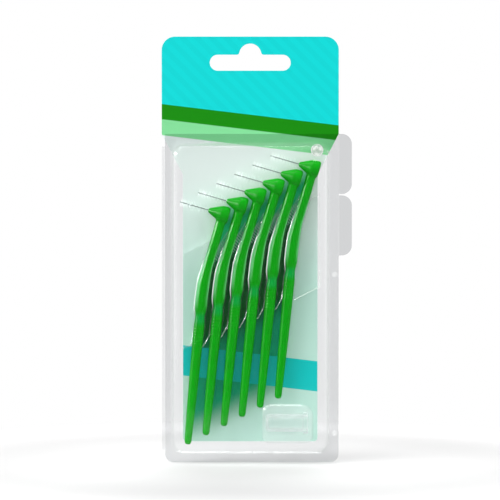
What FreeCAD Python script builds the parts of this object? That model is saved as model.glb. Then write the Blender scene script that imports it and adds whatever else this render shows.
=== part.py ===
"""Six angled interdental brushes and a travel cap in a clear hinged hang pack with a header card.

Millimetres. The origin is the centre of the hang slot, +X right, +Y to the back, +Z up.
The pack is sized from the brush set outwards: brushes, tray, flange, card.
"""
import FreeCAD, Part
import math
import os

V = FreeCAD.Vector

# Brush
BRUSH_COUNT = 6
BRUSH_RISE = 3.63
BRUSH_LEAN = 16.2
HANDLE_BEND = 10.65
HANDLE_LENGTH = 92.35
NECK_LENGTH = 21.7
BEND_LENGTH = 12.0
NECK_WIDTH = 3.7
NECK_DEPTH = 3.4
GRIP_FROM = 28.5
GRIP_TO = 38.0
GRIP_WIDTH = 4.6
GRIP_DEPTH = 4.2
WAIST_AT = 41.3
WAIST_WIDTH = 3.5
WAIST_DEPTH = 3.0
STICK_AT = 44.5
STICK_WIDTH = 4.05
STICK_DEPTH = 3.4
TAPER_POWER = 1.8
TIP_WIDTH = 2.65
TIP_ROUND = 0.8
HANDLE_BEVEL = 1.0
STICK_SECTIONS = 5

# Brush head: a cone on a short barrel, square to the neck
NOSE_AT = 5.95
NOSE_RADIUS = 0.8
CONE_LENGTH = 5.4
BARREL_RADIUS = 3.3
BARREL_LENGTH = 3.0
BARREL_BEVEL = 0.5

# Wire and bristles
WIRE_RADIUS = 0.25
WIRE_LENGTH = 11.6
WIRE_ROOT = 3.0
WIRE_SIDES = 8
BRISTLE_RADIUS = 2.15
BRISTLE_TIP_RADIUS = 1.9
BRISTLE_THICKNESS = 0.13
BRISTLE_COUNT = 26
BRISTLE_START = 1.1
BRISTLE_TURN = 67.0

# Clear sheet and card
SHEET = 0.35
CARD_THICKNESS = 0.4
CARD_GAP = 0.05
TRAY_CLEAR = 3.28
TRAY_FOOT = 4.0
FLANGE_WIDTH = 3.2
TRAY_CORNER = 5.0
TRAY_DRAFT = 1.5
TRAY_EDGE = 2.1
TRAY_EDGE_INSIDE = 1.2
FRONT_GAP = 0.3
BACK_GAP = 0.3
SHELL_CORNER = 3.4
LID_DEPTH = 1.6
LID_DRAFT = 0.6

# Separators between the handles
SEPARATOR_FROM = 11.7
SEPARATOR_TO = 52.9
SEPARATOR_WIDTH = 1.34
SEPARATOR_GAP = 0.22
SEPARATOR_BACK = 1.2
BAY_WALL_GAP = 3.9

# Opening tabs, snaps and the card stud
TAB_LENGTH = 23.8
TAB_REACH = 5.2
TAB_CORNER = 4.0
TAB_GAP = 0.5
SNAP_RADIUS = 0.85
SNAP_HEIGHT = 0.75
SNAP_CLEAR = 0.1
SNAP_DROP = 8.0
STUD_RADIUS = 2.2
STUD_REACH = 1.5
STUD_CLEAR = 0.25
STUD_INSET = 5.0
STUD_DROP = 2.9

# Hinge
HINGE_CLEAR = 0.05
HINGE_END = 5.0

# Travel cap and its bubble
CAP_LENGTH = 16.8
CAP_RADIUS = 3.6
CAP_WALL = 0.5
CAP_ROUND = 1.6
CAP_MOUTH_RADIUS = 4.3
CAP_MOUTH_LENGTH = 2.0
CAP_FROM_RIGHT = 8.6
CAP_FROM_BOTTOM = 12.6
CAP_GAP = 0.25
BUBBLE_MARGIN = 1.5
BUBBLE_MOUTH_MARGIN = 2.0
BUBBLE_SIDE = 7.8
BUBBLE_CORNER = 3.0
BUBBLE_MOUTH_CORNER = 5.0
BUBBLE_DRAFT = 0.4
BUBBLE_EDGE = 0.6

# Header card
HEADER_HEIGHT = 38.4
HANG_DROP = 10.3
CARD_CORNER = 5.3
TONGUE_INSET = 4.8
TONGUE_CORNER = 1.5
SHOULDER_DROP = 16.0
SLOT_WIDTH = 32.0
SLOT_HEIGHT = 6.3
HUMP_RADIUS = 4.4
HUMP_FILLET = 1.0

# Levels from the middle of the card
PARTING = CARD_THICKNESS / 2 + CARD_GAP
BRUSH_MID = PARTING + BACK_GAP + BARREL_RADIUS
FACE = BRUSH_MID + BARREL_RADIUS + FRONT_GAP
CAP_MID = PARTING + CAP_GAP + CAP_MOUTH_RADIUS
BUBBLE_FACE = CAP_MID + CAP_MOUTH_RADIUS + CAP_GAP


def handle_centre(s):
    """Local (x, z) of the handle's centreline at length s from the head, and its bend in radians."""
    bend = math.radians(HANDLE_BEND)
    rate = bend / BEND_LENGTH
    straight = min(s, NECK_LENGTH)
    angle = rate * min(max(s - NECK_LENGTH, 0), BEND_LENGTH)
    rest = max(s - NECK_LENGTH - BEND_LENGTH, 0)
    x = (1 - math.cos(angle)) / rate + rest * math.sin(bend)
    z = -straight - math.sin(angle) / rate - rest * math.cos(bend)
    return x, z, angle


def handle_size(s):
    """Width and depth of the handle at length s: neck, grip, waist, then the tapering stick."""
    if s > STICK_AT:
        taper = ((s - STICK_AT) / (HANDLE_LENGTH - STICK_AT)) ** TAPER_POWER
        return STICK_WIDTH + (TIP_WIDTH - STICK_WIDTH) * taper, STICK_DEPTH + (TIP_WIDTH - STICK_DEPTH) * taper
    stations = [
        (0, NECK_WIDTH, NECK_DEPTH),
        (NECK_LENGTH, NECK_WIDTH, NECK_DEPTH),
        (GRIP_FROM, GRIP_WIDTH, GRIP_DEPTH),
        (GRIP_TO, GRIP_WIDTH, GRIP_DEPTH),
        (WAIST_AT, WAIST_WIDTH, WAIST_DEPTH),
        (STICK_AT, STICK_WIDTH, STICK_DEPTH),
    ]
    for (s0, w0, d0), (s1, w1, d1) in zip(stations, stations[1:]):
        if s <= s1:
            t = (s - s0) / (s1 - s0)
            ease = t * t * (3 - 2 * t)
            return w0 + (w1 - w0) * ease, d0 + (d1 - d0) * ease


def handle_stations():
    """Lengths down the handle at which its sections stand, closest round the grip."""
    key = [NECK_LENGTH, GRIP_FROM, GRIP_TO, WAIST_AT, STICK_AT]
    stations = [0]
    for s0, s1 in zip(key, key[1:]):
        stations += [s0, (s0 + s1) / 2]
    stick = HANDLE_LENGTH - TIP_ROUND - STICK_AT
    return stations + [STICK_AT + stick * i / STICK_SECTIONS for i in range(STICK_SECTIONS + 1)]


def to_pack(x, z):
    """A local brush direction, turned to the brush's lean in the pack."""
    lean = math.radians(BRUSH_LEAN)
    return x * math.cos(lean) + z * math.sin(lean), z * math.cos(lean) - x * math.sin(lean)


# Brush pitch: where the grip starts, two handles leave room for one separator and its gaps
GRIP_LEAN = math.radians(BRUSH_LEAN) - handle_centre(GRIP_FROM)[2]
GRIP_SPACING = GRIP_WIDTH + SEPARATOR_WIDTH + 2 * SEPARATOR_GAP
BRUSH_PITCH = (GRIP_SPACING + BRUSH_RISE * math.sin(GRIP_LEAN)) / math.cos(GRIP_LEAN)

# How far a brush reaches from its head, in the pack
HEAD_BACK = BARREL_LENGTH + CONE_LENGTH - NOSE_AT
WIRE_TIP = NOSE_AT + WIRE_LENGTH
REACH_LEFT = -to_pack(-WIRE_TIP, -BRISTLE_TIP_RADIUS)[0]
REACH_RIGHT = to_pack(HEAD_BACK, BARREL_RADIUS)[0]
REACH_UP = to_pack(-WIRE_TIP, BRISTLE_TIP_RADIUS)[1]
REACH_DOWN = -to_pack(*handle_centre(HANDLE_LENGTH)[:2])[1]

# Tray inside at the flange, then the shell round it
TRAY_HALF = (REACH_LEFT + REACH_RIGHT + (BRUSH_COUNT - 1) * BRUSH_PITCH) / 2 + TRAY_CLEAR
SHELL_HALF = TRAY_HALF + SHEET + FLANGE_WIDTH
SHELL_TOP = HANG_DROP - HEADER_HEIGHT
TRAY_TOP = SHELL_TOP - FLANGE_WIDTH - SHEET
FIRST_X = TRAY_CLEAR + REACH_LEFT - TRAY_HALF
FIRST_Z = TRAY_TOP - TRAY_CLEAR - REACH_UP - (BRUSH_COUNT - 1) * BRUSH_RISE
TRAY_BOTTOM = FIRST_Z - REACH_DOWN - TRAY_FOOT
SHELL_BOTTOM = TRAY_BOTTOM - SHEET - FLANGE_WIDTH

# Hinge on the left edge, cap in the lower right corner
HINGE_RADIUS = PARTING + SHEET
HINGE_X = -SHELL_HALF + HINGE_RADIUS
SHELL_LEFT = HINGE_X + HINGE_RADIUS + HINGE_CLEAR
CAP_MOUTH_X = TRAY_HALF - CAP_FROM_RIGHT
CAP_Z = TRAY_BOTTOM + CAP_FROM_BOTTOM
SNAPS = [
    (SHELL_HALF - FLANGE_WIDTH / 2, SHELL_TOP - 2 * TAB_LENGTH - SNAP_DROP),
    (SHELL_HALF - FLANGE_WIDTH / 2, TRAY_BOTTOM + SNAP_DROP),
]
STUD_X = TRAY_HALF - STUD_INSET
STUD_Z = TRAY_TOP - STUD_DROP


def rounded_wire(corners, y):
    """Closed wire at depth y through corners (x, z, radius)."""
    starts, arcs, ends = [], [], []
    for i, (x, z, radius) in enumerate(corners):
        here = V(x, y, z)
        before = V(corners[i - 1][0], y, corners[i - 1][1]) - here
        after = V(corners[(i + 1) % len(corners)][0], y, corners[(i + 1) % len(corners)][1]) - here
        before.normalize()
        after.normalize()
        half = before.getAngle(after) / 2
        if radius <= 0:
            starts.append(here)
            ends.append(here)
            arcs.append(None)
            continue
        inward = (before + after).normalize()
        first = here + before * (radius / math.tan(half))
        last = here + after * (radius / math.tan(half))
        middle = here + inward * (radius / math.sin(half) - radius)
        starts.append(first)
        ends.append(last)
        arcs.append(Part.Arc(first, middle, last).toShape())
    edges = []
    for i, arc in enumerate(arcs):
        if arc:
            edges.append(arc)
        edges.append(Part.makeLine(ends[i], starts[(i + 1) % len(starts)]))
    return Part.Wire(edges)


def grown(corners, distance):
    """Convex corners (x, z, radius), moved outwards by a distance; they run anticlockwise."""
    result = []
    for i, (x, z, radius) in enumerate(corners):
        x0, z0, _ = corners[i - 1]
        x1, z1, _ = corners[(i + 1) % len(corners)]
        n0 = V(z - z0, 0, x0 - x).normalize()
        n1 = V(z1 - z, 0, x - x1).normalize()
        shift = (n0 + n1) * (distance / (1 + n0.dot(n1)))
        result.append((x + shift.x, z + shift.z, max(radius + distance, 0)))
    return result


def box_corners(left, right, bottom, top, radius):
    """Anticlockwise corners of a rectangle, all of one radius."""
    return [(left, bottom, radius), (right, bottom, radius), (right, top, radius), (left, top, radius)]


def plate(corners, y0, y1):
    """Flat plate with this outline between two depths."""
    return Part.Face(rounded_wire(corners, y0)).extrude(V(0, y1 - y0, 0))


def drafted(corners, y0, y1, draft):
    """Block from outline at y0 to the same outline drawn in by draft at y1."""
    return Part.makeLoft([rounded_wire(corners, y0), rounded_wire(grown(corners, -draft), y1)], True, True)


def rim_edges(block, y):
    """Edges that lie at depth y."""
    return [e for e in block.Edges if all(abs(v.Y - y) < 1e-6 for v in e.Vertexes)]


def post(x, z, radius, y0, y1):
    """Round post along Y between two depths."""
    return Part.makeCylinder(radius, y1 - y0, V(x, y0, z), V(0, 1, 0))


def section_wire(s, width, depth, bevel):
    """One handle section, a bevelled rectangle square to the centreline."""
    x, z, angle = handle_centre(s)
    side = V(math.cos(angle), 0, math.sin(angle))
    back = V(0, 1, 0)
    points = []
    for u, v in ((1, -1), (1, 1), (-1, 1), (-1, -1)):
        by_side = side * (u * width / 2) + back * (v * (depth / 2 - bevel))
        by_face = side * (u * (width / 2 - bevel)) + back * (v * depth / 2)
        points += [by_side, by_face] if u == v else [by_face, by_side]
    points = [V(x, 0, z) + p for p in points]
    return Part.makePolygon(points + points[:1])


def wire_rod(x0, x1):
    """Wire between two places along its axis, with flats for the two strands' twist."""
    points = []
    for i in range(WIRE_SIDES + 1):
        turn = 2 * math.pi * i / WIRE_SIDES
        points.append(V(x0, WIRE_RADIUS * math.cos(turn), WIRE_RADIUS * math.sin(turn)))
    return Part.Face(Part.makePolygon(points)).extrude(V(x1 - x0, 0, 0))


def brush_handle():
    """Bent handle with a rounded end and a cone head, with the wire's root moulded in."""
    sections = [section_wire(s, *handle_size(s), HANDLE_BEVEL * min(handle_size(s)) / NECK_DEPTH)
                for s in handle_stations()]
    end = TIP_WIDTH - TIP_ROUND
    sections.append(section_wire(HANDLE_LENGTH, end, end, HANDLE_BEVEL * end / NECK_DEPTH))
    shaft = Part.makeLoft(sections, True, True)
    rim = BARREL_RADIUS - BARREL_BEVEL
    profile = Part.makePolygon([
        V(-NOSE_AT, 0, 0),
        V(-NOSE_AT, 0, NOSE_RADIUS),
        V(CONE_LENGTH - NOSE_AT, 0, BARREL_RADIUS),
        V(HEAD_BACK - BARREL_BEVEL, 0, BARREL_RADIUS),
        V(HEAD_BACK, 0, rim),
        V(HEAD_BACK, 0, 0),
        V(-NOSE_AT, 0, 0),
    ])
    head = Part.Face(profile).revolve(V(0, 0, 0), V(1, 0, 0), 360)
    return head.fuse(shaft).cut(wire_rod(-NOSE_AT, WIRE_ROOT - NOSE_AT))


def brush_wire():
    """Wire stem from its root in the head to its tip."""
    return wire_rod(-WIRE_TIP, WIRE_ROOT - NOSE_AT)


def brush_bristles():
    """Filaments through the wire, each turned on from the last, shorter towards the tip."""
    first = -NOSE_AT - BRISTLE_START
    last = -WIRE_TIP + BRISTLE_THICKNESS
    filaments = []
    for i in range(BRISTLE_COUNT):
        t = i / (BRISTLE_COUNT - 1)
        reach = BRISTLE_RADIUS + (BRISTLE_TIP_RADIUS - BRISTLE_RADIUS) * t
        corner = V(-BRISTLE_THICKNESS / 2, -BRISTLE_THICKNESS / 2, -reach)
        filament = Part.makeBox(BRISTLE_THICKNESS, BRISTLE_THICKNESS, 2 * reach, corner)
        filament.rotate(V(0, 0, 0), V(1, 0, 0), BRISTLE_TURN * i)
        filament.translate(V(first + (last - first) * t, 0, 0))
        filaments.append(filament)
    return Part.makeCompound(filaments)


def brush_place(i):
    """Where brush i sits in the pack."""
    at = V(FIRST_X + i * BRUSH_PITCH, -BRUSH_MID, FIRST_Z + i * BRUSH_RISE)
    return FreeCAD.Placement(at, FreeCAD.Rotation(V(0, 1, 0), BRUSH_LEAN))


def handle_side(i, side, gap, inset):
    """Points beside handle i, side -1 left or 1 right, over the separators' length less an inset."""
    start = SEPARATOR_FROM + inset
    end = SEPARATOR_TO - inset
    stations = [start] + [s for s in handle_stations() if start < s < end] + [end]
    points = []
    for s in stations:
        x, z, angle = handle_centre(s)
        out = side * (handle_size(s)[0] / 2 + gap)
        px, pz = to_pack(x + out * math.cos(angle), z + out * math.sin(angle))
        points.append((FIRST_X + i * BRUSH_PITCH + px, FIRST_Z + i * BRUSH_RISE + pz))
    return points


def separator_outlines(inset):
    """Outlines of the recesses between the handles and of the two bays beside the end ones."""
    gap = SEPARATOR_GAP + inset
    outlines = []
    for i in range(BRUSH_COUNT - 1):
        left = handle_side(i, 1, gap, inset)
        right = handle_side(i + 1, -1, gap, inset)
        outlines.append(left + right[::-1])
    slope = BRUSH_RISE / BRUSH_PITCH
    limit = TRAY_HALF - BAY_WALL_GAP - inset
    for points, wall in ((handle_side(0, -1, gap, inset), -limit),
                         (handle_side(BRUSH_COUNT - 1, 1, gap, inset), limit)):
        top, bottom = points[0], points[-1]
        outlines.append(points + [
            (wall, bottom[1] + slope * (wall - bottom[0])),
            (wall, top[1] + slope * (wall - top[0])),
        ])
    return outlines


def tray_space(grow):
    """Inside of the front shell, or with the sheet's thickness its outside."""
    tray = box_corners(-TRAY_HALF, TRAY_HALF, TRAY_BOTTOM, TRAY_TOP, TRAY_CORNER)
    space = drafted(grown(tray, grow), -PARTING, -FACE - grow, TRAY_DRAFT)
    rim = rim_edges(space, -FACE - grow)
    space = space.makeFillet(TRAY_EDGE, rim) if grow else space.makeChamfer(TRAY_EDGE_INSIDE, rim)
    left = CAP_MOUTH_X - CAP_LENGTH - BUBBLE_MARGIN
    right = CAP_MOUTH_X + BUBBLE_MOUTH_MARGIN
    outline = [
        (left, CAP_Z - BUBBLE_SIDE, BUBBLE_CORNER),
        (right, CAP_Z - BUBBLE_SIDE, BUBBLE_CORNER),
        (right, CAP_Z + BUBBLE_SIDE, BUBBLE_MOUTH_CORNER),
        (left, CAP_Z + BUBBLE_SIDE, BUBBLE_CORNER),
    ]
    bubble = drafted(grown(outline, grow), -PARTING, -BUBBLE_FACE - grow, BUBBLE_DRAFT)
    space = space.fuse(bubble.makeChamfer(BUBBLE_EDGE, rim_edges(bubble, -BUBBLE_FACE - grow)))
    for outline in separator_outlines(grow):
        corners = [(x, z, 0) for x, z in outline]
        space = space.cut(plate(corners, -FACE - 2 * SHEET, -PARTING - SEPARATOR_BACK - grow))
    return space


def tab(bottom):
    """Outline of an opening tab on the right edge."""
    return [
        (SHELL_HALF - FLANGE_WIDTH / 2, bottom, 0),
        (SHELL_HALF + TAB_REACH, bottom, TAB_CORNER),
        (SHELL_HALF + TAB_REACH, bottom + TAB_LENGTH, TAB_CORNER),
        (SHELL_HALF - FLANGE_WIDTH / 2, bottom + TAB_LENGTH, 0),
    ]


def flange(y0, y1, tab_bottom):
    """Flat of one shell half with its opening tab."""
    outline = [
        (SHELL_LEFT, SHELL_BOTTOM, SHELL_CORNER),
        (SHELL_HALF, SHELL_BOTTOM, SHELL_CORNER),
        (SHELL_HALF, SHELL_TOP, 0),
        (SHELL_LEFT, SHELL_TOP, 0),
    ]
    return plate(outline, y0, y1).fuse(plate(tab(tab_bottom), y0, y1))


def front_shell():
    """Tray, separators, cap bubble, snap sockets and the lower opening tab, all one sheet."""
    low_tab = SHELL_TOP - 2 * TAB_LENGTH - TAB_GAP
    shell = flange(-PARTING - SHEET, -PARTING, low_tab).fuse(tray_space(SHEET))
    inside = tray_space(0)
    for x, z in SNAPS:
        radius = SNAP_RADIUS + SNAP_CLEAR
        depth = PARTING - SNAP_HEIGHT - SNAP_CLEAR - 2 * PARTING
        shell = shell.fuse(post(x, z, radius + SHEET, depth - SHEET, -PARTING))
        inside = inside.fuse(post(x, z, radius, depth, -PARTING))
    return shell.cut(inside).removeSplitter()


def back_shell():
    """Flat lid with a shallow panel, the card stud, snap studs and the upper opening tab."""
    tray = box_corners(-TRAY_HALF, TRAY_HALF, TRAY_BOTTOM, TRAY_TOP, TRAY_CORNER)
    shell = flange(PARTING, PARTING + SHEET, SHELL_TOP - TAB_LENGTH)
    shell = shell.fuse(drafted(grown(tray, SHEET), PARTING, PARTING + LID_DEPTH + SHEET, LID_DRAFT))
    shell = shell.cut(drafted(tray, PARTING, PARTING + LID_DEPTH, LID_DRAFT))
    top = -PARTING - STUD_REACH
    shell = shell.fuse(post(STUD_X, STUD_Z, STUD_RADIUS, top, PARTING + LID_DEPTH + SHEET))
    shell = shell.cut(post(STUD_X, STUD_Z, STUD_RADIUS - SHEET, top + SHEET, PARTING + LID_DEPTH + SHEET))
    for x, z in SNAPS:
        shell = shell.fuse(post(x, z, SNAP_RADIUS, -PARTING - SNAP_HEIGHT, PARTING))
    return shell.removeSplitter()


def living_hinge():
    """Rolled crease that joins the two halves along the left edge."""
    length = SHELL_TOP - SHELL_BOTTOM - 2 * HINGE_END
    return Part.makeCylinder(HINGE_RADIUS, length, V(HINGE_X, 0, SHELL_BOTTOM + HINGE_END))


def hang_slot():
    """Long slot with a round hump above it."""
    y = -CARD_THICKNESS
    end = SLOT_HEIGHT / 2
    bar = plate(box_corners(-SLOT_WIDTH / 2, SLOT_WIDTH / 2, -end, end, end * 0.999), y, -y)
    slot = bar.fuse(post(0, end, HUMP_RADIUS, y, -y)).removeSplitter()
    inner = [
        e for e in slot.Edges
        if abs(e.Vertexes[0].Z - end) < 1e-3 and abs(abs(e.Vertexes[0].X) - HUMP_RADIUS) < 0.1
        and abs(e.Vertexes[0].Y - e.Vertexes[-1].Y) > CARD_THICKNESS
    ]
    return slot.makeFillet(HUMP_FILLET, inner)


def header_card():
    """Header, shoulders and the tongue behind the brushes, with the hang slot and stud hole."""
    tongue = TRAY_HALF - TONGUE_INSET
    bottom = TRAY_BOTTOM + TONGUE_INSET
    neck = SHELL_TOP - SHOULDER_DROP
    outline = [
        (-tongue, bottom, TONGUE_CORNER),
        (tongue, bottom, TONGUE_CORNER),
        (tongue, neck, 0),
        (SHELL_HALF, SHELL_TOP, 0),
        (SHELL_HALF, HANG_DROP, CARD_CORNER),
        (-SHELL_HALF, HANG_DROP, CARD_CORNER),
        (-SHELL_HALF, SHELL_TOP, 0),
        (-tongue, neck, 0),
    ]
    card = plate(outline, -CARD_THICKNESS / 2, CARD_THICKNESS / 2)
    hole = post(STUD_X, STUD_Z, STUD_RADIUS + STUD_CLEAR, -CARD_THICKNESS, CARD_THICKNESS)
    return card.cut([hang_slot(), hole])


def travel_cap():
    """Clear cap, closed on the left, with a wider mouth on the right."""
    back = CAP_MOUTH_X - CAP_LENGTH
    step = CAP_MOUTH_X - CAP_MOUTH_LENGTH
    bore = CAP_RADIUS - CAP_WALL
    profile = Part.makePolygon([
        V(back, 0, 0),
        V(back, 0, CAP_RADIUS - CAP_ROUND),
        V(back + CAP_ROUND, 0, CAP_RADIUS),
        V(step, 0, CAP_RADIUS),
        V(step, 0, CAP_MOUTH_RADIUS),
        V(CAP_MOUTH_X, 0, CAP_MOUTH_RADIUS),
        V(CAP_MOUTH_X, 0, bore),
        V(back + CAP_ROUND, 0, bore),
        V(back + CAP_WALL, 0, bore - CAP_ROUND + CAP_WALL),
        V(back + CAP_WALL, 0, 0),
        V(back, 0, 0),
    ])
    cap = Part.Face(profile).revolve(V(0, 0, 0), V(1, 0, 0), 360)
    cap.translate(V(0, -CAP_MID, CAP_Z))
    return cap


def save(name, shape):
    shape.exportStep("parts/%s.step" % name)


os.makedirs("parts", exist_ok=True)
save("header_card", header_card())
save("back_shell", back_shell())
save("living_hinge", living_hinge())
save("front_shell", front_shell())
save("travel_cap", travel_cap())
pieces = {"handle": brush_handle(), "wire": brush_wire(), "bristles": brush_bristles()}
for i in range(BRUSH_COUNT):
    for piece, shape in pieces.items():
        placed = shape.copy()
        placed.Placement = brush_place(i)
        save("brush_%d_%s" % (i + 1, piece), placed)
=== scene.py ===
"""Looks of the brush pack: handles, twisted wires, filaments, clear shells, card print and studio."""

import math
import random

import bmesh
import bpy
from mathutils import Matrix, Vector


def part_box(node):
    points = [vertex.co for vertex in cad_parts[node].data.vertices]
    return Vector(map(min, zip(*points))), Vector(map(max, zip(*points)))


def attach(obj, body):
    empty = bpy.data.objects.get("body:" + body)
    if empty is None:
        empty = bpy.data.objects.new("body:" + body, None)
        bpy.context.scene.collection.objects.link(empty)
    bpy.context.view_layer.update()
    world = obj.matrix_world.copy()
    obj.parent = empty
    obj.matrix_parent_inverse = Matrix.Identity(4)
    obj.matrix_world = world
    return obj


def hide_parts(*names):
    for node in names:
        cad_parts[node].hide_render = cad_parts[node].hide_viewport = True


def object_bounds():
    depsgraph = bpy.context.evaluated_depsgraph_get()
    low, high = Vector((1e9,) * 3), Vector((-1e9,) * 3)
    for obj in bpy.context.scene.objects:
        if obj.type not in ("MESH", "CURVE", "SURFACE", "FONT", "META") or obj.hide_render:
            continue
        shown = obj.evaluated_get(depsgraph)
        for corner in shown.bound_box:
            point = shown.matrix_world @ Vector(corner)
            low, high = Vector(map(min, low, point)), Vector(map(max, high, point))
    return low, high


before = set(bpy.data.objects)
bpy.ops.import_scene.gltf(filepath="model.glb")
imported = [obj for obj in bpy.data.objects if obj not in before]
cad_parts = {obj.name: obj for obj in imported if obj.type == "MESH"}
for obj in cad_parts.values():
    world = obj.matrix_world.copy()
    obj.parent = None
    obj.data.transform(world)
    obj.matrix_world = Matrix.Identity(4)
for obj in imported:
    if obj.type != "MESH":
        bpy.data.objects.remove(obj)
cad_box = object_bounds()

MM = 0.001
BRUSHES = range(1, 7)

# Brush, in millimetres from the middle of its head, the wire along -X
BRUSH_TURN = Matrix.Rotation(math.radians(16.2), 4, "Y")
WIRE_TIP = 17.55
WIRE_ROOT = 2.95
WIRE_STEPS = 90
STRAND = 0.125
STRAND_SIDES = 8
TWIST = 1.3
NOSE = 5.95
FILAMENTS = 260
FILAMENT = 0.022
FILAMENT_SIDES = 3
BRISTLES_FROM = NOSE + 0.7
BRISTLES_TO = WIRE_TIP - 0.25
BRISTLES_END = WIRE_TIP - 0.1
BRISTLE_ROOT = 2.12
BRISTLE_TIP = 1.86
HANDLE_VOXEL = 0.25
HANDLE_SMOOTHING = 16
HANDLE_SWELL = 0.09
# GRIP: where along the handle the edges get the painted highlight
GRIP = (-35.5, -14.0)
WAIST = (-43.2, -39.4)
RIBBED = (-52.25, -43.25)

# Travel cap, in millimetres from its mouth, closed towards -X
CAP_LENGTH = 16.8
CAP_RADIUS = 3.6
CAP_MOUTH = 4.3
CAP_MOUTH_LENGTH = 2.0
CAP_WALL = 0.5
CAP_DOME = 1.6
CAP_DOME_STEPS = 8
CAP_SOFT = 0.25
CAP_SIDES = 48
CAP_TINT = (0.985, 0.99, 0.99, 1)
# Closed end of the cap's hollow: distance from the dome's tip, and how much narrower it is there
CAP_HOLLOW = ((1.8, 0.0), (1.0, 0.5), (CAP_WALL, 1.5))

# Clear shells, in millimetres and radians, and how much light they let through
SHEET = 0.35
FRONT_FACE = -7.8
RIM_ROUND = 1.2
RIM_STEPS = 6
RIM_PLANE = 0.003
RIM_ANGLE = 0.6
FLANGE = (-1.2, -0.7)
DRAWN = (-0.7, -1.2)
BUBBLE = (-8.0, -8.8)
TAB_ACROSS = (34.8, 35.4)
STUD = (26.44, -34.55)
STUD_EDGE = (2.25, 2.05)
FACE_TINT = (0.988, 0.992, 0.992, 1)
WALL_TINT = (0.945, 0.955, 0.95, 1)
FLANGE_TINT = (0.925, 0.928, 0.931, 1)
# The tabs' deeper tint is painted shade
TAB_SHADE_TINT = (0.82, 0.825, 0.83, 1)
CLEAR_LAYERS = 32

# Directions across the handles and along the row of heads, which the next two groups use
HANDLE_SLOPE = 0.145
HEAD_SLOPE = 0.51

# Painted highlights on the rims of the recesses of the front shell, in millimetres
RIM_ACROSS = (-10.0, 30.0)
RIM_ALONG = (-87.0, -70.0)
END_ACROSS = (-10.0, -4.0)
LOW_END_ALONG = (-106.0, -97.0)
HIGH_END_ALONG = (-72.0, -58.0)

# Green field of painted shade on the card's print, between the end handles, in millimetres
FIELD_ACROSS = (-4.4, 28.6)
FIELD_LOW = (-139.0, -127.0)
FIELD_MIDDLE = (-110.0, -97.0)
FIELD_NECK = (-74.5, -61.5)
FIELD_TOP = (-59.5, -53.5)
FIELD_HIGH = (-50.5, -54.5)
HATCH_ALONG = (-71.5, -65.0)

# Slanted bands of the print, their upper edges in millimetres at the middle of the card
BAND_SLOPE = 0.12
BAND_EDGE = 0.08
DARK_BAND = -20.5
LIGHT_BAND = -26.5
PANEL_TOP = -32.8
STRIPE = -115.0
STRIPE_END = -127.0
PANEL_FADE = (-100.0, -40.0)

# Cleaning of meshes: millimetres, radians, and the square metres from which a face stays flat
WELD = 0.002
SAME_PLANE = 0.002
SHARP = math.radians(40)
FLAT_FACE = 1e-5
# A direction that no tube runs along
TUBE_SIDE = Vector((0.31, 0.87, 0.39))

# Studio, in metres: floor, light from all round, and what mirror-like surfaces see in front
FLOOR_REACH = 3.0
FLOOR_FRONT = -0.22
FLOOR_FADE = (0.17, 0.24)
FLOOR_GLOW = 0.21
AMBIENT = 0.42
DARK_ROOM = 0.04
WHITE = (1, 1, 1, 1)
BLACK = (0, 0, 0, 1)
LAMP_TARGET = Vector((0, 0, -0.075))

# Camera, in metres
CAMERA_TARGET = Vector((-0.0001, 0, -0.07405))
CAMERA_RISE = math.radians(2)
CAMERA_DISTANCE = 1.2
PICTURE_WIDTH = 0.198
SENSOR_MM = 36

random.seed(7)


def srgb(r, g, b):
    """Linear colour of an sRGB one in 0 to 255."""
    linear = []
    for c in (r / 255, g / 255, b / 255):
        linear.append(c / 12.92 if c < 0.04045 else ((c + 0.055) / 1.055) ** 2.4)
    return (*linear, 1)


def node_adder(tree):
    """Empties a node tree, and gives a shortcut that adds a node to it and sets its sockets."""
    tree.nodes.clear()

    def node(kind, sockets=None, **settings):
        added = tree.nodes.new("ShaderNode" + kind)
        for key, value in settings.items():
            setattr(added, key, value)
        for key, value in (sockets or {}).items():
            fill(added, key, value)
        return added

    return node


def fill(node, key, value):
    """Links a socket to another, or gives it a value."""
    if isinstance(value, bpy.types.NodeSocket):
        node.id_data.links.new(value, node.inputs[key])
    else:
        node.inputs[key].default_value = value


def material(name):
    """An empty node material and its shortcut."""
    made = bpy.data.materials.new(name)
    made.use_nodes = True
    return made, node_adder(made.node_tree)


def axes(node, kind):
    """X, Y and Z of a kind of texture coordinate: the object, its normals, or the world around."""
    return node("SeparateXYZ", {0: node("TexCoord").outputs[kind]}).outputs


def noise(node, scale, detail=2.0):
    """Noise in the object's own coordinates."""
    place = node("TexCoord").outputs["Object"]
    return node("TexNoise", {"Vector": place, "Scale": scale, "Detail": detail}).outputs[0]


def stripes(node, scale, direction):
    """Soft stripes in the object's own coordinates."""
    place = node("TexCoord").outputs["Object"]
    return node("TexWave", {"Vector": place, "Scale": scale}, bands_direction=direction).outputs["Fac"]


def blend(node, factor, first, second):
    """Colour between two by a factor."""
    mixed = node("Mix", {"Factor": factor}, data_type="RGBA")
    fill(mixed, 6, first)
    fill(mixed, 7, second)
    return mixed.outputs[2]


def times(node, first, second):
    """Product of two values."""
    return node("Math", {0: first, 1: second}, operation="MULTIPLY").outputs[0]


def greater(node, first, second):
    """The greater of two values."""
    return node("Math", {0: first, 1: second}, operation="MAXIMUM").outputs[0]


def times_plus(node, first, second, third):
    """Product of two values and a third one added."""
    return node("Math", {0: first, 1: second, 2: third}, operation="MULTIPLY_ADD").outputs[0]


def between(node, value, low, high, to_low=0.0, to_high=1.0):
    """Value moved smoothly from one range into another, and held at its ends."""
    return node("MapRange", {0: value, 1: low, 2: high, 3: to_low, 4: to_high},
                interpolation_type="SMOOTHSTEP").outputs[0]


def ramp(node, value, limits, to_low=0.0, to_high=1.0):
    """Value moved smoothly from a range in millimetres into another, and held at its ends."""
    return between(node, value, limits[0] * MM, limits[1] * MM, to_low, to_high)


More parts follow.
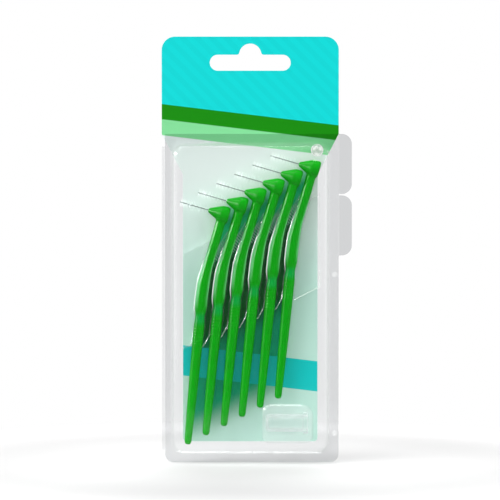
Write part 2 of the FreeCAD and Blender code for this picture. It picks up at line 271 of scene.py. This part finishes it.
def inside(node, value, limits, soft):
    """Share that is one between two limits in millimetres, with soft ends."""
    low, high = limits
    above = ramp(node, value, (low - soft, low + soft))
    under = ramp(node, value, (high + soft, high - soft))
    return times(node, above, under)


def field_axes(node, x, z):
    """Coordinates across the row of handles and along it."""
    return times_plus(node, z, -HANDLE_SLOPE, x), times_plus(node, x, -HEAD_SLOPE, z)


def handle_plastic():
    """Glossy green moulded plastic with a painted highlight on the grip's edges, bluish at the waist,
    ribbed below it.
    """
    made, node = material("handle_plastic")
    z = axes(node, "Object")["Z"]
    normal = axes(node, "Normal")
    cloud = noise(node, 260.0, 3.0)
    grain = noise(node, 5200.0)
    ribs = times(node, stripes(node, 260.0, "Z"), inside(node, z, RIBBED, 0.75))
    grained = node("Bump", {"Strength": 0.05, "Distance": 0.00002, "Height": grain}).outputs[0]
    raised = node("Bump", {"Strength": 0.5, "Distance": 0.00012, "Height": ribs, "Normal": grained})
    green = blend(node, between(node, cloud, 0.3, 0.7), srgb(0, 162, 8), srgb(1, 167, 12))
    green = blend(node, times(node, inside(node, z, WAIST, 1.4), 0.7), green, srgb(0, 168, 72))
    # Painted highlight: paler green on the grip's left and right edges where they face forward
    left = between(node, normal["X"], -0.45, -0.9, 0.0, 0.85)
    right = between(node, normal["X"], 0.6, 0.85, 0.0, 0.6)
    forward = between(node, normal["Y"], -0.1, -0.4)
    edges = times(node, greater(node, left, right), forward)
    pale = times(node, edges, inside(node, z, GRIP, 4.0))
    surface = node("BsdfPrincipled", {
        "Base Color": blend(node, pale, green, srgb(145, 242, 170)),
        "Roughness": between(node, grain, 0.3, 0.7, 0.26, 0.32),
        "Specular IOR Level": 0.1,
        "Normal": raised.outputs[0],
    })
    node("OutputMaterial", {"Surface": surface.outputs[0]})
    return made


def steel():
    """Drawn wire, a little uneven in tone and gloss."""
    made, node = material("steel_wire")
    drawn = noise(node, 3000.0)
    tone = between(node, drawn, 0.35, 0.65)
    surface = node("BsdfPrincipled", {
        "Base Color": blend(node, tone, srgb(98, 108, 106), srgb(140, 148, 147)),
        "Roughness": between(node, drawn, 0.35, 0.65, 0.25, 0.4),
        "Metallic": 1.0,
    })
    node("OutputMaterial", {"Surface": surface.outputs[0]})
    return made


def nylon():
    """Thin white filaments that let some light through."""
    made, node = material("nylon")
    shade = ramp(node, axes(node, "Object")["X"], (-WIRE_TIP, -NOSE))
    pale = blend(node, shade, srgb(246, 249, 248), srgb(226, 236, 232))
    rough = between(node, noise(node, 1500.0), 0.3, 0.7, 0.3, 0.5)
    solid = node("BsdfPrincipled", {"Base Color": pale, "Roughness": rough})
    through = node("BsdfTranslucent", {"Color": pale})
    mixed = node("MixShader", {0: 0.5, 1: solid.outputs[0], 2: through.outputs[0]})
    node("OutputMaterial", {"Surface": mixed.outputs[0]})
    return made


def rim_highlight_share(node, x, z, normal):
    """Share of painted highlight on the front rims of the recesses: beside the handles, and at both
    ends.
    """
    across, along = field_axes(node, x, z)
    beside = times(node, inside(node, across, RIM_ACROSS, 0.2), inside(node, along, RIM_ALONG, 4.0))
    rims = times(node, beside, between(node, normal["X"], -0.02, -0.35, 0.0, 0.8))
    lower = between(node, normal["Z"], 0.1, 0.5, 0.0, 0.9)
    lower = times(node, lower, inside(node, along, LOW_END_ALONG, 1.0))
    upper = between(node, normal["Z"], -0.1, -0.5, 0.0, 0.4)
    upper = times(node, upper, inside(node, along, HIGH_END_ALONG, 1.0))
    ends = times(node, greater(node, lower, upper), ramp(node, across, END_ACROSS))
    forward = between(node, normal["Y"], -0.05, -0.25)
    return times(node, forward, greater(node, rims, ends))


def sheet_tint(node, x, y, level):
    """Tint of a shell: pale where the sheet is drawn forward, deeper on its flange, and deeper still
    on its tabs as painted shade.
    """
    drawn = blend(node, between(node, level, 0.5, 0.9), WALL_TINT, FACE_TINT)
    border = blend(node, ramp(node, x, TAB_ACROSS), FLANGE_TINT, TAB_SHADE_TINT)
    return blend(node, ramp(node, y, FLANGE), drawn, border)


def stud_tint(node, x, z, scuffs, sheet):
    """The sheet's tint, mottled grey on the stud that holds the card."""
    flat = node("CombineXYZ", {0: x, 2: z}).outputs[0]
    centre = (STUD[0] * MM, 0, STUD[1] * MM)
    apart = node("VectorMath", {0: flat, 1: centre}, operation="DISTANCE").outputs["Value"]
    patches = between(node, scuffs, 0.4, 0.6)
    mottled = blend(node, patches, (0.72, 0.8, 0.73, 1), (0.93, 0.96, 0.93, 1))
    return blend(node, ramp(node, apart, STUD_EDGE), sheet, mottled)


def clear_plastic(name, part, stretch, mirror):
    """Clear plastic of the cap, the tray or the lid: milky on walls and rims, with a painted highlight
    on the tray's recess rims, glossy edge on.
    """
    made, node = material(name)
    x, y, z = axes(node, "Object")
    normal = axes(node, "Normal")
    level = node("Math", {0: normal["Y"]}, operation="ABSOLUTE").outputs[0]
    scuffs = noise(node, 700.0, 4.0)
    waves = noise(node, 90.0, 1.0)
    wavy = node("Bump", {"Strength": 0.2, "Distance": 0.0002, "Height": waves}).outputs[0]
    facing = node("LayerWeight", {"Blend": 0.5, "Normal": wavy}).outputs["Facing"]
    edge_on = node("Math", {0: facing, 1: 5.0}, operation="POWER").outputs[0]
    shine = times_plus(node, edge_on, mirror, 0.018)
    white = blend(node, scuffs, (0.86, 0.87, 0.88, 1), (0.94, 0.95, 0.96, 1))
    milk = between(node, level, 1.0, 0.2, ramp(node, y, BUBBLE, 0.002, 0.14), stretch)
    tint = CAP_TINT
    if part != "cap":
        milk = times(node, milk, ramp(node, y, DRAWN))
        tint = sheet_tint(node, x, y, level)
    if part == "lid":
        tint = stud_tint(node, x, z, scuffs, tint)
    if part == "tray":
        # Painted highlight on the tray's recess rims, greenish white, put into the milk
        rim_highlight = rim_highlight_share(node, x, z, normal)
        milk = greater(node, milk, rim_highlight)
        white = blend(node, rim_highlight, white, (0.8, 0.97, 0.86, 1))
    clear = node("BsdfTransparent", {"Color": tint})
    milky = node("BsdfDiffuse", {"Color": white})
    rough = between(node, scuffs, 0.3, 0.7, 0.09, 0.16)
    gloss = node("BsdfGlossy", {"Color": WHITE, "Roughness": rough, "Normal": wavy})
    body = node("MixShader", {0: milk, 1: clear.outputs[0], 2: milky.outputs[0]})
    mixed = node("MixShader", {0: shine, 1: body.outputs[0], 2: gloss.outputs[0]})
    node("OutputMaterial", {"Surface": mixed.outputs[0]})
    return made


def brush_field_shade(node, x, z):
    """Share and colour of the painted shade behind the brushes: teal and dark green painted shadow,
    then mint at the necks as painted bounce light. The pale hatch there is drawn on the card in place
    of the tray's hatching.
    """
    across, along = field_axes(node, x, z)
    ends = times(node, ramp(node, along, FIELD_LOW), ramp(node, along, FIELD_HIGH))
    share = times(node, inside(node, across, FIELD_ACROSS, 0.1), ends)
    colour = blend(node, ramp(node, along, FIELD_MIDDLE), srgb(0, 176, 132), srgb(0, 104, 38))
    colour = blend(node, ramp(node, along, FIELD_NECK), colour, srgb(0, 205, 135))
    colour = blend(node, ramp(node, along, FIELD_TOP), colour, srgb(150, 238, 205))
    lines = between(node, stripes(node, 450.0, "DIAGONAL"), 0.4, 0.6, 0.0, 0.6)
    hatch = times(node, lines, inside(node, along, HATCH_ALONG, 0.5))
    return share, blend(node, hatch, colour, srgb(170, 235, 205))


def card_print():
    """Coated card: turquoise over two green bands, a panel from white to mint with painted green shade
    behind the brushes, grey board behind.
    """
    made, node = material("card_print")
    x, _, z = axes(node, "Object")
    facing = axes(node, "Normal")["Y"]
    fibre = noise(node, 1800.0, 4.0)
    level = times_plus(node, x, BAND_SLOPE, z)
    panel = blend(node, ramp(node, z, PANEL_FADE), srgb(194, 232, 219), srgb(230, 241, 237))
    # Painted shade between and around the brushes, blended into the panel's print
    share, field_shade = brush_field_shade(node, x, z)
    panel = blend(node, share, panel, field_shade)
    faint = between(node, stripes(node, 110.0, "DIAGONAL"), 0.35, 0.65)
    colour = blend(node, faint, srgb(0, 211, 209), srgb(2, 215, 213))
    bands = (
        (DARK_BAND, srgb(16, 138, 0)),
        (LIGHT_BAND, srgb(130, 218, 152)),
        (PANEL_TOP, panel),
        (STRIPE, srgb(0, 200, 197)),
        (STRIPE_END, panel),
    )
    for height, ink in bands:
        below = ramp(node, level, (height + BAND_EDGE, height - BAND_EDGE))
        colour = blend(node, below, colour, ink)
    board = blend(node, fibre, srgb(206, 205, 200), srgb(222, 221, 216))
    fibrous = node("Bump", {"Strength": 0.08, "Distance": 0.00003, "Height": fibre})
    surface = node("BsdfPrincipled", {
        "Base Color": blend(node, between(node, facing, -0.6, -0.4), colour, board),
        "Roughness": between(node, facing, -0.6, -0.4, 0.38, 0.85),
        "Specular IOR Level": 0.18,
        "Normal": fibrous.outputs[0],
    })
    node("OutputMaterial", {"Surface": surface.outputs[0]})
    return made


def new_object(name, mesh, matrix=None):
    """Adds a mesh to the scene as one object."""
    made = bpy.data.objects.new(name, mesh)
    bpy.context.scene.collection.objects.link(made)
    if matrix:
        made.matrix_world = matrix
    return made


def mesh_from(name, bm, turn=Matrix.Identity(4)):
    """Mesh of a bmesh in millimetres, its small faces smooth and its normals outward."""
    bmesh.ops.recalc_face_normals(bm, faces=bm.faces)
    made = bpy.data.meshes.new(name)
    bm.to_mesh(made)
    bm.free()
    made.transform(Matrix.Scale(MM, 4) @ turn)
    made.set_sharp_from_angle(angle=SHARP)
    made.polygons.foreach_set("use_smooth", [p.area < FLAT_FACE for p in made.polygons])
    return made


def welded(source, matrix):
    """A CAD node's mesh in millimetres, moved by a matrix, its split vertices joined."""
    bm = bmesh.new()
    bm.from_mesh(source.data)
    bmesh.ops.transform(bm, matrix=Matrix.Scale(1 / MM, 4) @ matrix, verts=bm.verts)
    bmesh.ops.remove_doubles(bm, verts=bm.verts, dist=WELD)
    return bm


def swept_tube(bm, points, radius, sides):
    """A closed tube along points, its ends capped."""
    rings = []
    for i, point in enumerate(points):
        along = (points[min(i + 1, len(points) - 1)] - points[max(i - 1, 0)]).normalized()
        across = along.cross(TUBE_SIDE).normalized()
        up = along.cross(across)
        ring = []
        for k in range(sides):
            turn = 2 * math.pi * k / sides
            ring.append(bm.verts.new(point + (across * math.cos(turn) + up * math.sin(turn)) * radius))
        rings.append(ring)
    for first, second in zip(rings, rings[1:]):
        for k in range(sides):
            bm.faces.new((first[k - 1], first[k], second[k], second[k - 1]))
    bm.faces.new(rings[0])
    bm.faces.new(rings[-1])


def wire_mesh():
    """Two strands twisted round each other."""
    bm = bmesh.new()
    length = WIRE_TIP - WIRE_ROOT
    for half in (0, math.pi):
        points = []
        for i in range(WIRE_STEPS + 1):
            x = -WIRE_TIP + length * i / WIRE_STEPS
            turn = half + 2 * math.pi * (x + WIRE_TIP) / TWIST
            points.append(Vector((x, STRAND * math.cos(turn), STRAND * math.sin(turn))))
        swept_tube(bm, points, STRAND, STRAND_SIDES)
    return mesh_from("wire", bm, BRUSH_TURN)


def bristle_mesh():
    """Filaments caught in the twist, fanned round the wire and a little curved, shorter at the tip."""
    bm = bmesh.new()
    for i in range(FILAMENTS):
        t = i / (FILAMENTS - 1)
        x = -BRISTLES_FROM + (BRISTLES_FROM - BRISTLES_TO) * t
        turn = 2 * math.pi * (x + WIRE_TIP) / TWIST + random.gauss(0, 0.35)
        reach = (BRISTLE_ROOT + (BRISTLE_TIP - BRISTLE_ROOT) * t) * random.uniform(0.9, 1.0)
        lean = random.gauss(0, 0.12)
        points = []
        for u in (-1, -0.5, 0, 0.5, 1):
            out = Vector((0, math.cos(turn), math.sin(turn))) * (u * reach)
            bent = max(min(x + lean * u * u, -NOSE), -BRISTLES_END)
            points.append(out + Vector((bent, 0, 0)))
        swept_tube(bm, points, FILAMENT, FILAMENT_SIDES)
    return mesh_from("bristles", bm, BRUSH_TURN)


def handle_mesh(source, head):
    """The CAD handle with its edges rounded over, its head at the origin."""
    bm = welded(source, Matrix.Translation(-head))
    rough = bpy.data.meshes.new("handle_rough")
    bm.to_mesh(rough)
    bm.free()
    made = new_object("handle_rough", rough)
    remesh = made.modifiers.new("remesh", "REMESH")
    remesh.mode = "VOXEL"
    remesh.voxel_size = HANDLE_VOXEL
    smooth = made.modifiers.new("smooth", "CORRECTIVE_SMOOTH")
    smooth.iterations = HANDLE_SMOOTHING
    smooth.factor = 0.5
    smooth.use_only_smooth = True
    swell = made.modifiers.new("swell", "DISPLACE")
    swell.strength = HANDLE_SWELL
    swell.mid_level = 0
    bpy.context.view_layer.update()
    graph = bpy.context.evaluated_depsgraph_get()
    mesh = bpy.data.meshes.new_from_object(made.evaluated_get(graph))
    mesh.name = "handle"
    bpy.data.objects.remove(made)
    mesh.transform(Matrix.Scale(MM, 4))
    mesh.polygons.foreach_set("use_smooth", [True] * len(mesh.polygons))
    return mesh


def lathe(profile, sides):
    """Closed solid turned about X from a closed profile of (x, radius)."""
    bm = bmesh.new()
    rings = []
    for x, radius in profile:
        if radius == 0:
            rings.append([bm.verts.new((x, 0, 0))] * sides)
            continue
        ring = []
        for k in range(sides):
            turn = 2 * math.pi * k / sides
            ring.append(bm.verts.new((x, radius * math.cos(turn), radius * math.sin(turn))))
        rings.append(ring)
    for first, second in zip(rings, rings[1:]):
        for k in range(sides):
            corners = [first[k - 1], first[k], second[k], second[k - 1]]
            bm.faces.new(list(dict.fromkeys(corners)))
    return bm


def cap_mesh():
    """Clear cap with a domed end, a stepped mouth with soft edges, and a hollow inside."""
    back = -CAP_LENGTH
    step = -CAP_MOUTH_LENGTH
    bore = CAP_RADIUS - CAP_WALL
    profile = [(back, 0)]
    for i in range(CAP_DOME_STEPS, -1, -1):
        turn = math.pi / 2 * i / CAP_DOME_STEPS
        radius = CAP_RADIUS - CAP_DOME * (1 - math.cos(turn))
        profile.append((back + CAP_DOME * (1 - math.sin(turn)), radius))
    profile += [
        (step - CAP_SOFT, CAP_RADIUS),
        (step, CAP_RADIUS + CAP_SOFT),
        (step, CAP_MOUTH - CAP_SOFT),
        (step + CAP_SOFT, CAP_MOUTH),
        (-CAP_SOFT, CAP_MOUTH),
        (0, CAP_MOUTH - CAP_SOFT),
        (0, bore + CAP_SOFT),
        (-CAP_SOFT, bore),
    ]
    profile += [(back + away, bore - narrower) for away, narrower in CAP_HOLLOW]
    profile.append((back + CAP_WALL, 0))
    return mesh_from("cap", lathe(profile, CAP_SIDES))


def is_rim(edge, face, convex):
    """Whether an edge is a sharp rim in the plane of the shell's front, bent the stated way."""
    if any(abs(v.co.y - face) >= RIM_PLANE for v in edge.verts):
        return False
    if len(edge.link_faces) != 2:
        return False
    return edge.is_convex == convex and edge.calc_face_angle() > RIM_ANGLE


def shell_mesh(source):
    """The CAD front shell with soft rims round the recesses on its front face."""
    bm = welded(source, Matrix.Identity(4))
    bmesh.ops.dissolve_limit(bm, angle_limit=SAME_PLANE, verts=bm.verts, edges=bm.edges)
    outer = (FRONT_FACE, RIM_ROUND, True)
    inner = (FRONT_FACE + SHEET, RIM_ROUND - SHEET, False)
    for face, offset, convex in (outer, inner):
        rims = [e for e in bm.edges if is_rim(e, face, convex)]
        bmesh.ops.bevel(bm, geom=rims, offset=offset, segments=RIM_STEPS, profile=0.5,
                        affect="EDGES", clamp_overlap=True)
    bmesh.ops.dissolve_degenerate(bm, edges=bm.edges, dist=WELD)
    return mesh_from("shell", bm)


def brush_head(number):
    """Middle of a brush's head: the wire's box gives the middle of the wire."""
    low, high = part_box("brush_%d_wire" % number)
    return (low + high) / 2 + BRUSH_TURN @ Vector(((WIRE_TIP + WIRE_ROOT) / 2 * MM, 0, 0))


def dress(piece, finish, body, node):
    """Gives a piece its material, and puts it in the place of a CAD node."""
    if not piece.data.materials:
        piece.data.materials.append(finish)
    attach(piece, body)
    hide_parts(node)


def build_brushes():
    """Six brushes that share their meshes. The filaments are too thin and clear to cast a shadow."""
    handle = handle_mesh(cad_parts["brush_1_handle"], brush_head(1))
    parts = (
        ("handle", handle, handle_plastic()),
        ("wire", wire_mesh(), steel()),
        ("bristles", bristle_mesh(), nylon()),
    )
    for number in BRUSHES:
        for kind, mesh, finish in parts:
            name = "brush_%d_%s" % (number, kind)
            piece = new_object(name + "_look", mesh, Matrix.Translation(brush_head(number)))
            piece.visible_shadow = kind != "bristles"
            dress(piece, finish, "front", name)


def build_cap():
    """The travel cap at its CAD place."""
    low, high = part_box("travel_cap")
    place = Matrix.Translation((high.x, (low.y + high.y) / 2, (low.z + high.z) / 2))
    # The cap's strong milk whitens its top and bottom edges: partly milky plastic, partly a painted
    # highlight
    finish = clear_plastic("clear_cap", "cap", 0.3, 0.35)
    dress(new_object("travel_cap_look", cap_mesh(), place), finish, "front", "travel_cap")


def build_shells():
    """Clear finish on the shells and the hinge, and soft rims on the front."""
    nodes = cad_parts
    tray = clear_plastic("clear_sheet", "tray", 0.05, 0.6)
    front = new_object("front_shell_look", shell_mesh(nodes["front_shell"]))
    dress(front, tray, "front", "front_shell")
    lid = clear_plastic("clear_lid", "lid", 0.05, 0.6)
    for name in ("back_shell", "living_hinge"):
        nodes[name].data.materials.clear()
        nodes[name].data.materials.append(lid)


def build_card():
    """Print on the card's own node."""
    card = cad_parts["header_card"]
    card.data.materials.clear()
    card.data.materials.append(card_print())


def seen_rays(node, strength):
    """A strength that only the camera and mirror-like rays see."""
    paths = node("LightPath").outputs
    either = greater(node, paths["Is Camera Ray"], paths["Is Glossy Ray"])
    return times(node, greater(node, either, paths["Is Transmission Ray"]), strength)


def build_floor():
    """Pale floor that takes the shadow near the pack and turns white farther off."""
    low, _ = cad_box
    mesh = bpy.data.meshes.new("floor")
    corners = [(x, y, low.z) for x, y in (
        (-FLOOR_REACH, FLOOR_FRONT), (FLOOR_REACH, FLOOR_FRONT),
        (FLOOR_REACH, FLOOR_REACH), (-FLOOR_REACH, FLOOR_REACH))]
    mesh.from_pydata(corners, [], [(0, 1, 2, 3)])
    plane = new_object("floor", mesh)
    made, node = material("floor")
    pale = blend(node, noise(node, 40.0), (0.49, 0.49, 0.49, 1), (0.51, 0.51, 0.51, 1))
    place = node("TexCoord").outputs["Object"]
    away = node("VectorMath", {0: place}, operation="LENGTH").outputs["Value"]
    far = between(node, away, *FLOOR_FADE)
    matt = node("BsdfDiffuse", {"Color": blend(node, far, pale, BLACK)})
    level = between(node, far, 0.0, 1.0, FLOOR_GLOW, 1.0)
    glow = node("Emission", {"Color": WHITE, "Strength": seen_rays(node, level)})
    both = node("AddShader", {0: matt.outputs[0], 1: glow.outputs[0]})
    node("OutputMaterial", {"Surface": both.outputs[0]})
    mesh.materials.append(made)


def build_world():
    """White surroundings, that mirror-like surfaces see darker in front."""
    world = bpy.data.worlds.new("studio")
    bpy.context.scene.world = world
    world.use_nodes = True
    node = node_adder(world.node_tree)
    paths = node("LightPath").outputs
    mirrored = greater(node, paths["Is Glossy Ray"], paths["Is Transmission Ray"])
    room = between(node, axes(node, "Generated")["Y"], -0.75, 0.1, DARK_ROOM, 1.0)
    unseen = node("MapRange", {0: mirrored, 3: AMBIENT, 4: room}).outputs[0]
    level = node("MapRange", {0: paths["Is Camera Ray"], 3: unseen, 4: 1.0}).outputs[0]
    lit = node("Background", {"Color": WHITE, "Strength": level})
    node("OutputWorld", {"Surface": lit.outputs[0]})


def lamp(name, kind, place, power, **settings):
    """Lamp that looks at the pack."""
    data = bpy.data.lights.new(name, kind)
    data.energy = power
    for key, value in settings.items():
        setattr(data, key, value)
    made = bpy.data.objects.new(name, data)
    bpy.context.scene.collection.objects.link(made)
    made.location = place
    aim = LAMP_TARGET - Vector(place)
    made.rotation_mode = "QUATERNION"
    made.rotation_quaternion = aim.to_track_quat("-Z", "Y")
    return made


def soft_sun(name, place, power, degrees):
    """Sun with soft shadows."""
    return lamp(name, "SUN", place, power, angle=math.radians(degrees))


def soft_box(name, place, power, width, height):
    """Lit rectangle."""
    return lamp(name, "AREA", place, power, shape="RECTANGLE", size=width, size_y=height)


def build_lamps():
    """Soft lamps, one of them only for mirror-like surfaces and one only for matt ones."""
    soft_sun("sky", (-0.4, -0.35, 0.85), 1.55, 30)
    soft_box("left_box", (-0.62, -0.3, 0.02), 2.2, 0.4, 0.6)
    soft_box("right_box", (0.62, -0.32, 0.0), 2.0, 0.4, 0.6)
    soft_sun("back_fill", (0.08, 0.85, 0.4), 2.8, 40)
    soft_box("top_box", (0.0, -0.06, 0.5), 1.0, 0.4, 0.1)
    strip = soft_box("left_strip", (-0.56, -0.18, 0.1), 16.0, 0.4, 0.16)
    strip.visible_diffuse = False
    fill_light = soft_sun("front_fill", (0.05, -1.0, 0.2), 0.6, 30)
    fill_light.visible_glossy = False


def build_camera():
    """Long lens, straight on and a little above the pack."""
    data = bpy.data.cameras.new("camera")
    data.lens = SENSOR_MM * CAMERA_DISTANCE / PICTURE_WIDTH
    data.sensor_width = SENSOR_MM
    camera = bpy.data.objects.new("camera", data)
    bpy.context.scene.collection.objects.link(camera)
    away = Vector((0, -math.cos(CAMERA_RISE), math.sin(CAMERA_RISE)))
    camera.location = CAMERA_TARGET + away * CAMERA_DISTANCE
    camera.rotation_mode = "QUATERNION"
    camera.rotation_quaternion = (-away).to_track_quat("-Z", "Y")
    bpy.context.scene.camera = camera


build_camera()
build_floor()
build_world()
build_lamps()
build_card()
build_shells()
build_cap()
build_brushes()
bpy.context.scene.view_settings.view_transform = "Standard"
bpy.context.scene.cycles.transparent_max_bounces = CLEAR_LAYERS
